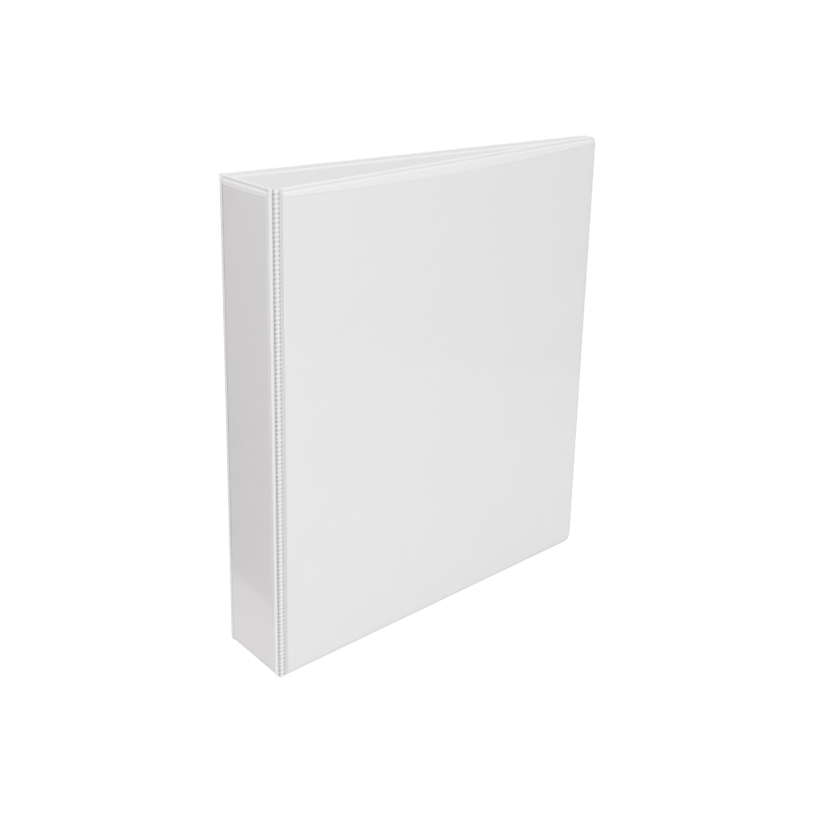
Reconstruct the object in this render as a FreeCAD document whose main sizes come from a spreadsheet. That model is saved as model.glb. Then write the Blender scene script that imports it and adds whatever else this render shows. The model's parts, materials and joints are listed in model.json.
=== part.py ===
"""Letter-size ring binder: three board panels in welded vinyl, a clear film over each, and a round-ring mechanism.

Frame: +Z up, with the origin on the floor at the centre of the bounding box. The spine stands at -X and faces -X,
the front cover is on the -Y side and the back cover on the +Y side, and the covers are closed to a narrow wedge.
Each panel is drawn in a frame of its own: local X runs away from its hinge, local Y is up and starts at
mid-height, and local Z is square to the panel and starts at its mid-plane, where the two vinyl skins meet.
"""
import FreeCAD, Part
import math
import os
from collections import namedtuple

import Sketcher
from FreeCAD import Placement, Rotation, Vector

# Driving dimensions, in millimetres and degrees: one cell of the sheet each.
DIMENSIONS = (
    ("panel_height", 292.0),            # 11.5 in, for letter paper with tab dividers
    ("cover_width", 267.0),             # hinge axis to fore-edge
    ("spine_width", 54.0),              # hinge axis to hinge axis
    ("wedge_angle", 5.37),              # each cover's lean towards the other, closed
    ("board_thickness", 2.2),
    ("board_clearance", 0.05),          # air between a board and its skins
    ("vinyl_thickness", 0.4),
    ("film_thickness", 0.25),
    ("pocket_gap", 0.3),                # room for a title sheet under the film
    ("edge_flange", 2.2),               # welded rim along the top, bottom and fore-edge
    ("cover_hinge_flange", 4.6),        # hinge axis to the raised part of a cover
    ("spine_hinge_flange", 6.0),        # hinge axis to the raised part of the spine
    ("hinge_edge", 1.6),                # hinge axis to the near edge of a rim
    ("hinge_core_radius", 1.2),
    ("corner_radius", 6.0),             # fore-edge corners
    ("skin_edge_radius", 0.7),
    ("film_drop", 7.6),                 # top edge of the panel to the open edge of the film
    ("inner_pocket_height", 118.0),
    ("inner_pocket_margin", 12.0),      # hinge axis to pocket, and pocket to fore-edge
    ("inner_pocket_bottom", 4.0),
    ("inner_pocket_thickness", 0.3),
    ("housing_length", 254.0),
    ("housing_width", 25.0),
    ("housing_crown", 8.0),             # height of the arch at its middle
    ("housing_shoulder", 5.6),          # height of the arch at its sides
    ("steel_thickness", 0.9),
    ("hem_width", 2.9),                 # folded foot along each side of the housing
    ("hem_height", 1.8),
    ("housing_end_slot_width", 10.4),
    ("housing_end_slot_length", 8.5),
    ("wire_slot_inner", 6.2),           # middle of the housing to the near end of a wire slot
    ("wire_slot_floor", 4.4),
    ("wire_slot_width", 4.4),
    ("plate_pivot_height", 3.6),
    ("plate_pivot_offset", 11.2),       # middle of the housing to a plate's outer edge
    ("plate_width", 10.9),
    ("plate_thickness", 1.0),
    ("plate_length", 242.8),
    ("plate_edge_play", 0.15),          # how far a plate's edge passes its pivot line
    ("closed_tilt", 7.0),               # tilt of each plate, ring closed
    ("ring_inner_diameter", 28.6),
    ("wire_diameter", 3.2),
    ("ring_spacing", 107.95),           # 4.25 in between holes
    ("ring_centre_height", 19.25),
    ("foot_offset", 3.0),               # a plate's pivot line to a ring's foot
    ("foot_bend_radius", 2.0),
    ("stake_radius", 1.2),
    ("stake_head_radius", 1.8),
    ("stake_head_height", 0.4),
    ("tip_reach", 1.3),                 # how far the tongue of a ring's tip passes the middle
    ("tip_gap", 0.15),
    ("tip_half_height", 2.2),
    ("rivet_spacing", 176.0),
    ("rivet_post_radius", 2.6),
    ("rivet_bore_radius", 1.6),
    ("rivet_head_radius", 6.0),
    ("rivet_head_height", 0.6),
    ("rivet_dome_radius", 4.2),
    ("rivet_dome_height", 1.1),
    ("rivet_seat_depth", 0.5),          # flat seat sunk in the crown of the housing
    ("rivet_clearance", 0.8),           # round each post, in the plates
    ("lever_pin_inset", 2.8),           # end of the housing to a lever's pin
    ("lever_pin_radius", 1.0),
    ("lever_bore_radius", 1.06),
    ("lever_hub_radius", 2.0),
    ("lever_hub_width", 8.4),
    ("lever_closed_tilt", 21.0),        # jaw below level, rings closed
    ("lever_tab_lean", 33.0),           # thumb tab from square to the jaw
    ("jaw_reach", 4.2),
    ("jaw_width", 3.0),
    ("jaw_half_height", 1.85),
    ("jaw_mouth_half_height", 1.05),
    ("jaw_mouth_start", 2.25),
    ("lever_sheet", 1.6),
    ("thumb_width", 15.0),
    ("thumb_start", 5.8),
    ("thumb_length", 10.0),
    ("thumb_corner_radius", 4.0),
    ("stem_overlap", 0.5),              # how far the lever's stem runs into its thumb tab
    ("rivet_play", 0.05),               # round a rivet's post
    ("rivet_end_play", 0.1),            # round a rivet's head and dome
    ("press_play", 0.02),               # round a pressed pin or stake
    ("tip_allowance", 0.4),             # wire left beyond a tongue before it is trimmed
    ("overrun", 1.0),                   # how far a cut passes the edge of what it cuts
)

Outline = namedtuple("Outline", "left right height radius")   # expressions; radius None for square corners

doc = FreeCAD.newDocument("ring_binder")
sub_parts = []


def make_sheet():
    sheet = doc.addObject("Spreadsheet::Sheet", "dims")
    for row, (alias, size) in enumerate(DIMENSIONS, start=1):
        sheet.set(f"A{row}", alias)
        sheet.set(f"B{row}", str(size))
        sheet.setAlias(f"B{row}", alias)
    doc.recompute()
    return sheet


sheet = make_sheet()


def cell(expression):
    """The value of an expression of the sheet's cells, as a plain number."""
    return float(sheet.evalExpression(expression.replace("dims.", "")))


def size(alias):
    return float(sheet.get(alias))


# ---------------------------------------------------------------- frames

def overall_length():
    """From the spine's film to the far corner of a cover's film, along X."""
    lean = math.radians(size("wedge_angle"))
    rim = size("vinyl_thickness") + size("film_thickness")
    return film_face() + size("cover_width") * math.cos(lean) + rim * math.sin(lean)


def skin_face():
    """Mid-plane of a panel to the face of a skin over its board."""
    return size("board_thickness") / 2 + size("board_clearance") + size("vinyl_thickness")


def film_face():
    return skin_face() + size("pocket_gap") + size("film_thickness")


MID_HEIGHT = size("panel_height") / 2
HINGE_X = film_face() - overall_length() / 2          # both hinge axes
HINGE_Y = size("spine_width") / 2
LEAN = math.radians(size("wedge_angle"))
UP = Vector(0, 0, 1)


def turned(x_axis, y_axis, base):
    """Placement with the given local X and Y directions."""
    return Placement(base, Rotation(x_axis, y_axis, x_axis.cross(y_axis), "XYZ"))


SPINE_FRAME = turned(Vector(0, -1, 0), UP, Vector(HINGE_X, 0, MID_HEIGHT))
COVER_FRAME = {
    "front": turned(Vector(math.cos(LEAN), math.sin(LEAN), 0), UP, Vector(HINGE_X, -HINGE_Y, MID_HEIGHT)),
    "back": turned(Vector(math.cos(LEAN), -math.sin(LEAN), 0), UP, Vector(HINGE_X, HINGE_Y, MID_HEIGHT)),
}
OUTWARD = {"front": 1, "back": -1}                    # side of the local XY plane that faces out
ACROSS = {"front": Vector(0, -1, 0), "back": Vector(0, 1, 0)}
MECHANISM_X = HINGE_X + skin_face()                   # face that the housing stands on


def half_frame(side, height):
    """Frame of one half of the mechanism: local X outwards across the spine, local Y away from it."""
    return turned(ACROSS[side], Vector(1, 0, 0), Vector(MECHANISM_X, 0, height))


# ---------------------------------------------------------------- sketches and features

def new_body(name):
    body = doc.addObject("PartDesign::Body", name)
    body.Label = name
    return body


def new_sketch(body, name, plane="XY_Plane", offset=None):
    """Sketch on one of the body's origin planes, moved along its normal by an expression."""
    sketch = body.newObject("Sketcher::SketchObject", f"{body.Name}_{name}")
    origin_plane = next(f for f in body.Origin.OriginFeatures if f.Role == plane)
    sketch.AttachmentSupport = [(origin_plane, "")]
    sketch.MapMode = "FlatFace"
    if offset:
        sketch.setExpression("AttachmentOffset.Base.z", offset)
    return sketch


def bind(sketch, kind, *points, expression):
    """Dimension a sketch: the constraint takes its value from the sheet."""
    index = sketch.addConstraint(Sketcher.Constraint(kind, *points, cell(expression)))
    sketch.setExpression(f"Constraints[{index}]", expression)


def add_line(sketch, start, end):
    return sketch.addGeometry(Part.LineSegment(Vector(*start, 0), Vector(*end, 0)), False)


def add_polygon(sketch, corners):
    """Closed polygon; each corner is a pair of expressions for its place from the sketch's origin."""
    points = [(cell(x), cell(y)) for x, y in corners]
    first = len(sketch.Geometry)
    count = len(points)
    for index in range(count):
        add_line(sketch, points[index], points[(index + 1) % count])
    for index in range(count):
        following = first + (index + 1) % count
        sketch.addConstraint(Sketcher.Constraint("Coincident", first + index, 2, following, 1))
    for index, (x, y) in enumerate(corners):
        bind(sketch, "DistanceX", -1, 1, first + index, 1, expression=x)
        bind(sketch, "DistanceY", -1, 1, first + index, 1, expression=y)


def add_rectangle(sketch, left, right, bottom, top):
    add_polygon(sketch, ((left, bottom), (right, bottom), (right, top), (left, top)))


def add_circle(sketch, x, y, radius):
    circle = Part.Circle(Vector(cell(x), cell(y), 0), Vector(0, 0, 1), cell(radius))
    index = sketch.addGeometry(circle, False)
    bind(sketch, "DistanceX", -1, 1, index, 3, expression=x)
    bind(sketch, "DistanceY", -1, 1, index, 3, expression=y)
    bind(sketch, "Radius", index, expression=radius)


def add_outline(sketch, outline):
    """Panel outline, even about the local X axis, with its two fore-edge corners rounded if it has a radius."""
    half = f"({outline.height}) / 2"
    if outline.radius is None:
        add_rectangle(sketch, outline.left, outline.right, f"-{half}", half)
        return
    left, right, top, radius = (cell(e) for e in (outline.left, outline.right, half, outline.radius))
    bottom_line = add_line(sketch, (left, -top), (right - radius, -top))
    lower_arc = add_arc(sketch, (right - radius, radius - top), radius, -90, 0)
    fore_line = add_line(sketch, (right, radius - top), (right, top - radius))
    upper_arc = add_arc(sketch, (right - radius, top - radius), radius, 0, 90)
    top_line = add_line(sketch, (right - radius, top), (left, top))
    hinge_line = add_line(sketch, (left, top), (left, -top))
    tangent_pairs = ((bottom_line, lower_arc), (lower_arc, fore_line), (fore_line, upper_arc), (upper_arc, top_line))
    for earlier, later in tangent_pairs:
        sketch.addConstraint(Sketcher.Constraint("Tangent", earlier, 2, later, 1))
    sketch.addConstraint(Sketcher.Constraint("Coincident", top_line, 2, hinge_line, 1))
    sketch.addConstraint(Sketcher.Constraint("Coincident", hinge_line, 2, bottom_line, 1))
    sketch.addConstraint(Sketcher.Constraint("Horizontal", bottom_line))
    sketch.addConstraint(Sketcher.Constraint("Horizontal", top_line))
    sketch.addConstraint(Sketcher.Constraint("Vertical", hinge_line))
    sketch.addConstraint(Sketcher.Constraint("Equal", lower_arc, upper_arc))
    bind(sketch, "Radius", lower_arc, expression=outline.radius)
    bind(sketch, "DistanceX", -1, 1, hinge_line, 1, expression=outline.left)
    bind(sketch, "DistanceY", -1, 1, hinge_line, 1, expression=half)
    bind(sketch, "DistanceY", -1, 1, hinge_line, 2, expression=f"-{half}")
    bind(sketch, "DistanceX", -1, 1, fore_line, 1, expression=outline.right)


def add_arc(sketch, centre, radius, start_degrees, end_degrees):
    circle = Part.Circle(Vector(*centre, 0), Vector(0, 0, 1), radius)
    arc = Part.ArcOfCircle(circle, math.radians(start_degrees), math.radians(end_degrees))
    return sketch.addGeometry(arc, False)


def inset(outline, amount):
    """The same outline, smaller by an expression all round."""
    radius = outline.radius and f"{outline.radius} - {amount}"
    return Outline(f"{outline.left} + {amount}", f"{outline.right} - {amount}",
                   f"{outline.height} - 2 * ({amount})", radius)


def pad(body, sketch, length, reverse=False, midplane=False):
    feature = body.newObject("PartDesign::Pad", f"{sketch.Name}_pad")
    feature.Profile = sketch
    feature.setExpression("Length", length)
    feature.Reversed = reverse
    feature.SideType = "Symmetric" if midplane else "One side"
    doc.recompute()
    return feature


def pocket(body, sketch, length, reverse=False, midplane=False):
    """Cut that must take something away."""
    before = body.Shape.Volume
    feature = body.newObject("PartDesign::Pocket", f"{sketch.Name}_cut")
    feature.Profile = sketch
    feature.setExpression("Length", length)
    feature.Reversed = reverse
    feature.SideType = "Symmetric" if midplane else "One side"
    doc.recompute()
    if not body.Shape.Volume < before:
        raise RuntimeError(f"{feature.Name} cuts nothing")
    return feature


def finish(obj, placement):
    """Place a sub-part and list it for export."""
    obj.Placement = placement
    sub_parts.append(obj)
    return obj


# ---------------------------------------------------------------- panels

COVER_RIM = Outline("dims.hinge_edge", "dims.cover_width", "dims.panel_height", "dims.corner_radius")
COVER_FIELD = Outline("dims.cover_hinge_flange", "dims.cover_width - dims.edge_flange",
                      "dims.panel_height - 2 * dims.edge_flange", "dims.corner_radius - dims.edge_flange")
SPINE_RIM = Outline("dims.hinge_edge - dims.spine_width / 2", "dims.spine_width / 2 - dims.hinge_edge",
                    "dims.panel_height", None)
SPINE_FIELD = Outline("dims.spine_hinge_flange - dims.spine_width / 2",
                      "dims.spine_width / 2 - dims.spine_hinge_flange",
                      "dims.panel_height - 2 * dims.edge_flange", None)
SKIN_ROOF = "(dims.board_thickness / 2 + dims.board_clearance)"
SKIN_FACE = f"({SKIN_ROOF} + dims.vinyl_thickness)"
FILM_ROOF = f"({SKIN_FACE} + dims.pocket_gap)"
FILM_FACE = f"({FILM_ROOF} + dims.film_thickness)"


def make_tray(name, rim, field, side, levels, wall):
    """Sheet with a flat rim and a raised field, hollow under the field.

    levels: expressions, from the panel's mid-plane, of the rim's seat, the roof of the hollow and the raised
    face; side is +1 or -1, the side of the mid-plane that it stands on.
    """
    seat, roof, face = levels
    body = new_body(name)
    rim_sketch = new_sketch(body, "rim", offset=f"{side} * {seat}")
    add_outline(rim_sketch, rim)
    pad(body, rim_sketch, wall, reverse=side < 0)
    field_sketch = new_sketch(body, "field", offset=f"{side} * {seat}")
    add_outline(field_sketch, field)
    pad(body, field_sketch, f"{face} - {seat}", reverse=side < 0)
    round_raised_edges(body, side * cell(face))
    hollow_sketch = new_sketch(body, "hollow", offset=f"{side} * {seat}")
    add_outline(hollow_sketch, inset(field, wall))
    pocket(body, hollow_sketch, f"{roof} - {seat}", reverse=side > 0)
    return body


def round_raised_edges(body, level):
    """Fillet the edges of the raised face, which lie at one local height."""
    base = body.Tip
    edges = [f"Edge{number}" for number, edge in enumerate(base.Shape.Edges, start=1)
             if all(abs(vertex.Z - level) < 1e-4 for vertex in edge.Vertexes)]
    fillet = body.newObject("PartDesign::Fillet", f"{body.Name}_soft_edge")
    fillet.Base = (base, edges)
    fillet.setExpression("Radius", "dims.skin_edge_radius")
    doc.recompute()


def make_skin(name, rim, field, side):
    return make_tray(name, rim, field, side, ("0", SKIN_ROOF, SKIN_FACE), "dims.vinyl_thickness")


def make_film(name, rim, field, side):
    """Clear overlay, welded round three sides of the skin's rim and open along the top."""
    grown = inset(field, "(0 - dims.pocket_gap - dims.film_thickness)")
    levels = ("dims.vinyl_thickness", FILM_ROOF, FILM_FACE)
    body = make_tray(name, rim, grown, side, levels, "dims.film_thickness")
    mouth = new_sketch(body, "mouth")
    add_rectangle(mouth, f"{rim.left} - dims.overrun", f"{rim.right} + dims.overrun",
                  "dims.panel_height / 2 - dims.film_drop", "dims.panel_height / 2 + dims.overrun")
    pocket(body, mouth, f"4 * {FILM_FACE}", midplane=True)
    return body


def make_board(name, field):
    body = new_body(name)
    sketch = new_sketch(body, "outline")
    add_outline(sketch, inset(field, "(dims.vinyl_thickness + dims.board_clearance)"))
    pad(body, sketch, "dims.board_thickness", midplane=True)
    return body


def bore_for_rivets(body, name, radius, start, depth):
    """Round hole for each rivet, from one local height down through the panel."""
    sketch = new_sketch(body, name, offset=start)
    for y in ("dims.rivet_spacing / 2", "-dims.rivet_spacing / 2"):
        add_circle(sketch, "0", y, radius)
    pocket(body, sketch, depth)


def make_spine():
    board = make_board("spine_board", SPINE_FIELD)
    half_board = "dims.board_thickness / 2"
    post_bore = "dims.rivet_post_radius + dims.rivet_play"
    bore_for_rivets(board, "head_seats", "dims.rivet_head_radius + dims.rivet_end_play", half_board,
                    "dims.rivet_head_height")
    bore_for_rivets(board, "post_bores", post_bore, half_board, "dims.board_thickness")
    liner = make_skin("spine_liner", SPINE_RIM, SPINE_FIELD, -1)
    bore_for_rivets(liner, "post_bores", post_bore, "0", f"2 * {SKIN_FACE}")
    skin = make_skin("spine_outer_skin", SPINE_RIM, SPINE_FIELD, 1)
    film = make_film("spine_film", SPINE_RIM, SPINE_FIELD, 1)
    for piece in (board, liner, skin, film):
        finish(piece, SPINE_FRAME)


def make_hinge_weld(side):
    """Core of the welded strip that a cover folds on."""
    weld = doc.addObject("Part::Cylinder", f"{side}_hinge_weld")
    weld.Label = weld.Name
    weld.setExpression("Radius", "dims.hinge_core_radius")
    weld.setExpression("Height", "dims.panel_height")
    finish(weld, Placement(Vector(HINGE_X, ACROSS[side].y * HINGE_Y, 0), Rotation()))


def make_inner_pocket(side):
    """Sheet welded low on the inside of a cover; papers slip behind it from above."""
    body = new_body(f"{side}_inner_pocket")
    sketch = new_sketch(body, "outline", offset=f"{-OUTWARD[side]} * {SKIN_FACE}")
    bottom = "dims.inner_pocket_bottom - dims.panel_height / 2"
    add_rectangle(sketch, "dims.inner_pocket_margin", "dims.cover_width - dims.inner_pocket_margin",
                  bottom, f"{bottom} + dims.inner_pocket_height")
    pad(body, sketch, "dims.inner_pocket_thickness", reverse=OUTWARD[side] > 0)
    return body


def make_cover(side):
    outward = OUTWARD[side]
    pieces = (
        make_board(f"{side}_board", COVER_FIELD),
        make_skin(f"{side}_outer_skin", COVER_RIM, COVER_FIELD, outward),
        make_skin(f"{side}_liner", COVER_RIM, COVER_FIELD, -outward),
        make_film(f"{side}_film", COVER_RIM, COVER_FIELD, outward),
        make_inner_pocket(side),
    )
    for piece in pieces:
        finish(piece, COVER_FRAME[side])


# ---------------------------------------------------------------- ring mechanism

def add_arch(sketch, half_width, shoulder, crown):
    """Flat foot on the X axis, two upright sides and an arc over them, even about the Y axis."""
    reach, spring, top = cell(half_width), cell(shoulder), cell(crown)
    radius_text = f"(({half_width}) ^ 2 + (({crown}) - ({shoulder})) ^ 2) / (2 * (({crown}) - ({shoulder})))"
    radius = cell(radius_text)
    foot = add_line(sketch, (-reach, 0), (reach, 0))
    right = add_line(sketch, (reach, 0), (reach, spring))
    half_angle = math.degrees(math.asin(reach / radius))
    arc = add_arc(sketch, (0, top - radius), radius, 90 - half_angle, 90 + half_angle)
    left = add_line(sketch, (-reach, spring), (-reach, 0))
    for earlier, later in ((foot, right), (right, arc), (arc, left), (left, foot)):
        sketch.addConstraint(Sketcher.Constraint("Coincident", earlier, 2, later, 1))
    for x, y, line, end in ((f"-({half_width})", "0", foot, 1), (half_width, "0", foot, 2),
                            (half_width, shoulder, right, 2), (f"-({half_width})", shoulder, left, 1)):
        bind(sketch, "DistanceX", -1, 1, line, end, expression=x)
        bind(sketch, "DistanceY", -1, 1, line, end, expression=y)
    bind(sketch, "Radius", arc, expression=radius_text)


def make_housing():
    """Arched channel with folded feet, drawn as a section across the spine and drawn out along it."""
    body = new_body("ring_housing")
    outside = new_sketch(body, "outside")
    add_arch(outside, "dims.housing_width / 2", "dims.housing_shoulder", "dims.housing_crown")
    pad(body, outside, "dims.housing_length", midplane=True)
    inside = new_sketch(body, "inside")
    add_arch(inside, "dims.housing_width / 2 - dims.steel_thickness",
             "dims.housing_shoulder - dims.steel_thickness / 2", "dims.housing_crown - dims.steel_thickness")
    pocket(body, inside, "dims.housing_length + 2 * dims.overrun", midplane=True)
    hems = new_sketch(body, "hems")
    inner_edge = "dims.housing_width / 2 - dims.hem_width"
    wall = "dims.housing_width / 2 - dims.steel_thickness"
    add_rectangle(hems, inner_edge, wall, "0", "dims.hem_height")
    add_rectangle(hems, f"-({wall})", f"-({inner_edge})", "0", "dims.hem_height")
    pad(body, hems, "dims.housing_length", midplane=True)
    cut_wire_slots(body)
    cut_end_slots(body)
    cut_rivet_seats(body)
    cut_lever_pin_holes(body)
    return finish(body, half_frame("front", MID_HEIGHT))


def cut_wire_slots(body):
    """Notches through the shoulders, which the ring wires come out of."""
    sketch = new_sketch(body, "wire_slots", plane="XZ_Plane", offset="-(dims.housing_crown + dims.overrun)")
    outer = "dims.housing_width / 2 + dims.overrun"
    for row in (-1, 0, 1):
        low = f"{row} * dims.ring_spacing - dims.wire_slot_width / 2"
        high = f"{row} * dims.ring_spacing + dims.wire_slot_width / 2"
        add_rectangle(sketch, "dims.wire_slot_inner", outer, low, high)
        add_rectangle(sketch, f"-({outer})", "-dims.wire_slot_inner", low, high)
    pocket(body, sketch, "dims.housing_crown + dims.overrun - dims.wire_slot_floor", reverse=True)


def cut_end_slots(body):
    """Open the crown at both ends, where the levers swing."""
    sketch = new_sketch(body, "end_slots", plane="XZ_Plane", offset="-(dims.housing_crown + dims.overrun)")
    half = "dims.housing_end_slot_width / 2"
    end = "dims.housing_length / 2 + dims.overrun"
    start = "dims.housing_length / 2 - dims.housing_end_slot_length"
    add_rectangle(sketch, f"-{half}", half, start, end)
    add_rectangle(sketch, f"-{half}", half, f"-({end})", f"-({start})")
    pocket(body, sketch, "dims.housing_crown / 2 + dims.overrun", reverse=True)


def cut_rivet_seats(body):
    """Flat round seats in the crown, with a hole through each."""
    holes = (("seats", "dims.rivet_dome_radius + dims.rivet_end_play", "dims.rivet_seat_depth + dims.overrun"),
             ("posts", "dims.rivet_post_radius + dims.rivet_play", "dims.housing_crown"))
    for name, radius, depth in holes:
        sketch = new_sketch(body, name, plane="XZ_Plane", offset="-(dims.housing_crown + dims.overrun)")
        for row in (-1, 1):
            add_circle(sketch, "0", f"{row} * dims.rivet_spacing / 2", radius)
        pocket(body, sketch, depth, reverse=True)


def cut_lever_pin_holes(body):
    sketch = new_sketch(body, "pin_holes", plane="YZ_Plane")
    for row in (-1, 1):
        add_circle(sketch, "dims.plate_pivot_height", f"{row} * (dims.housing_length / 2 - dims.lever_pin_inset)",
                   "dims.lever_pin_radius + dims.press_play")
    pocket(body, sketch, "dims.housing_width + 2 * dims.overrun", midplane=True)


def plate_frame(side, height):
    """Frame of a closed plate: origin on its pivot line, local X towards the middle, local Y away from the spine."""
    across = ACROSS[side]
    pivot = Vector(MECHANISM_X + size("plate_pivot_height"), across.y * size("plate_pivot_offset"), height)
    tilt = math.radians(size("closed_tilt"))
    inward = Vector(-math.sin(tilt), -across.y * math.cos(tilt), 0)
    away = Vector(math.cos(tilt), -across.y * math.sin(tilt), 0)
    return turned(inward, away, pivot)


def make_ring_plate(side):
    """Toggle plate: tilts about its outer edge, with a notch round each rivet and a hole for each ring's foot."""
    body = new_body(f"{side}_ring_plate")
    outline = new_sketch(body, "outline", plane="XZ_Plane")
    half_length = "dims.plate_length / 2"
    add_rectangle(outline, "-dims.plate_edge_play", "dims.plate_width", f"-{half_length}", half_length)
    pad(body, outline, "dims.plate_thickness", midplane=True)
    notches = new_sketch(body, "notches", plane="XZ_Plane")
    for row in (-1, 1):
        add_circle(notches, "dims.plate_pivot_offset", f"{row} * dims.rivet_spacing / 2",
                   "dims.rivet_post_radius + dims.rivet_clearance")
    for row in (-1, 0, 1):
        add_circle(notches, "dims.foot_offset", f"{row} * dims.ring_spacing", "dims.stake_radius + dims.press_play")
    pocket(body, notches, "dims.plate_thickness * 4", midplane=True)
    return finish(body, plate_frame(side, MID_HEIGHT))


def ring_path():
    """Points of a half ring's centre line, across and away from the spine, with the frame of its foot.

    The foot stands square on the closed plate, bends outwards on a small arc and joins the ring's own circle.
    """
    tilt = math.radians(size("closed_tilt"))
    outward = Vector(math.cos(tilt), math.sin(tilt), 0)
    away = Vector(-math.sin(tilt), math.cos(tilt), 0)
    pivot = Vector(size("plate_pivot_offset"), size("plate_pivot_height"), 0)
    foot = pivot - outward * size("foot_offset") + away * (size("plate_thickness") / 2)
    centre = Vector(0, size("ring_centre_height"), 0)
    radius = (size("ring_inner_diameter") + size("wire_diameter")) / 2
    bend = size("foot_bend_radius")
    offset = foot + outward * bend - centre
    along = offset.dot(away)
    rise = -along - math.sqrt(along ** 2 - offset.Length ** 2 + (radius + bend) ** 2)
    bend_centre = foot + outward * bend + away * rise
    join = centre + (bend_centre - centre).normalize() * radius
    return foot, outward, away, rise, bend_centre, join, centre, radius


def make_half_ring(side, name, height):
    """Half of a round ring in wire, staked through its plate; the tips meet in a tongue and a notch."""
    foot, outward, away, rise, bend_centre, join, centre, radius = ring_path()
    is_tongue = side == "front"
    bend_start = foot + away * rise
    bend_middle = arc_middle(bend_centre, bend_start, join)
    tip = centre + Vector(0, radius, 0)
    ring_middle = arc_middle(centre, join, tip)
    edges = [Part.LineSegment(foot, bend_start).toShape(),
             Part.Arc(bend_start, bend_middle, join).toShape(),
             Part.Arc(join, ring_middle, tip).toShape()]
    if is_tongue:
        tip_end = tip - Vector(size("tip_reach") + size("tip_allowance"), 0, 0)
        edges.append(Part.LineSegment(tip, tip_end).toShape())
    path = Part.Wire(edges)
    wire_radius = size("wire_diameter") / 2
    section = Part.Wire(Part.Circle(foot, away, wire_radius).toShape())
    wire = path.makePipeShell([section], True, False)
    cut = tip_cut(is_tongue, centre.y + radius)
    stake = Part.makeCylinder(size("stake_radius"), size("plate_thickness"), foot, away * -1)
    head_base = foot - away * size("plate_thickness")
    head = Part.makeCylinder(size("stake_head_radius"), size("stake_head_height"), head_base, away * -1)
    ring = doc.addObject("Part::Feature", f"{side}_ring_half_{name}")
    ring.Label = ring.Name
    ring.Shape = wire.cut(cut).fuse([stake, head])
    return finish(ring, half_frame(side, height))


def arc_middle(centre, start, end):
    """Point halfway round the shorter arc from start to end."""
    radius = (start - centre).Length
    return centre + ((start - centre) + (end - centre)).normalize() * radius


def tip_cut(is_tongue, height):
    """Prism that trims a ring's tip to its tongue or to the notch that takes it."""
    reach = size("tip_reach")
    slope = size("tip_half_height") * reach / (size("wire_diameter") / 2)
    side = size("tip_half_height")
    apex, base = (-reach, slope - reach) if is_tongue else (reach + size("tip_gap"), reach - slope + size("tip_gap"))
    far = -4 * reach
    depth = 2 * size("wire_diameter")
    corners = [(far, -side), (base, -side), (apex, 0), (base, side), (far, side)]
    points = [Vector(x, height - depth / 2, z) for x, z in corners]
    face = Part.Face(Part.makePolygon(points + points[:1]))
    return face.extrude(Vector(0, depth, 0))


def primitive(kind, name, placement=None, **sizes):
    """Part primitive with its sizes bound to the sheet."""
    shape = doc.addObject(f"Part::{kind}", name)
    for key, expression in sizes.items():
        shape.setExpression(key, expression)
    if placement:
        shape.Placement = placement
    return shape


def join_all(name, pieces):
    fused = doc.addObject("Part::MultiFuse", name)
    fused.Shapes = pieces
    return fused


def cut_away(name, base, tool):
    cut = doc.addObject("Part::Cut", name)
    cut.Base = base
    cut.Tool = tool
    return cut


def make_rivets():
    """Two rivets, drawn along local Z from the head in the spine's board to the dome on the housing."""
    rivets = []
    head_base = size("board_thickness") / 2 - size("rivet_head_height")
    start = HINGE_X - size("board_thickness") / 2
    seat = MECHANISM_X + size("housing_crown") - size("rivet_seat_depth")
    length = seat - start
    assert head_base > 0, "the rivet's head sits inside its board"
    for name, row in (("lower", -1), ("upper", 1)):
        base = Vector(start, 0, MID_HEIGHT + row * size("rivet_spacing") / 2)
        frame = Placement(base, Rotation(Vector(0, 0, 1), Vector(1, 0, 0)))
        head = primitive("Cylinder", f"{name}_rivet_head", frame,
                         Radius="dims.rivet_head_radius", Height="dims.rivet_head_height")
        post = primitive("Cylinder", f"{name}_rivet_post", frame, Radius="dims.rivet_post_radius")
        post.Height = length
        dome_frame = Placement(Vector(seat, base.y, base.z), frame.Rotation)
        dome = primitive("Cone", f"{name}_rivet_dome", dome_frame, Radius1="dims.rivet_dome_radius",
                         Radius2="dims.rivet_dome_radius - dims.rivet_dome_height",
                         Height="dims.rivet_dome_height")
        bore = primitive("Cylinder", f"{name}_rivet_bore", frame, Radius="dims.rivet_bore_radius")
        bore.Height = length + 2 * size("rivet_dome_height")
        bore.Placement = Placement(base + Vector(size("rivet_head_height"), 0, 0), frame.Rotation)
        solid = join_all(f"{name}_rivet_solid", [head, post, dome])
        rivets.append(cut_away(f"{name}_rivet", solid, bore))
    group = doc.addObject("Part::Compound", "housing_rivets")
    group.Label = group.Name
    group.Links = rivets
    return finish(group, Placement())


def lever_pin_height(end):
    return MID_HEIGHT + end * (size("housing_length") / 2 - size("lever_pin_inset"))


def make_lever_pins():
    pins = []
    for name, end in (("bottom", -1), ("top", 1)):
        base = Vector(MECHANISM_X + size("plate_pivot_height"), -size("housing_width") / 2, lever_pin_height(end))
        frame = Placement(base, Rotation(Vector(0, 0, 1), Vector(0, 1, 0)))
        pins.append(primitive("Cylinder", f"{name}_lever_pin", frame,
                              Radius="dims.lever_pin_radius", Height="dims.housing_width"))
    group = doc.addObject("Part::Compound", "lever_pins")
    group.Label = group.Name
    group.Links = pins
    return finish(group, Placement())


def centred_box(name, start, length, width, half_height, turn_degrees=0):
    """Box along local X from start, centred across, turned about the lever's pin."""
    turn = Rotation(Vector(0, 0, 1), turn_degrees)
    corner = Vector(cell(start), -cell(half_height), -cell(width) / 2)
    return primitive("Box", name, Placement(turn.multVec(corner), turn),
                     Length=length, Width=f"2 * ({half_height})", Height=width)


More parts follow.
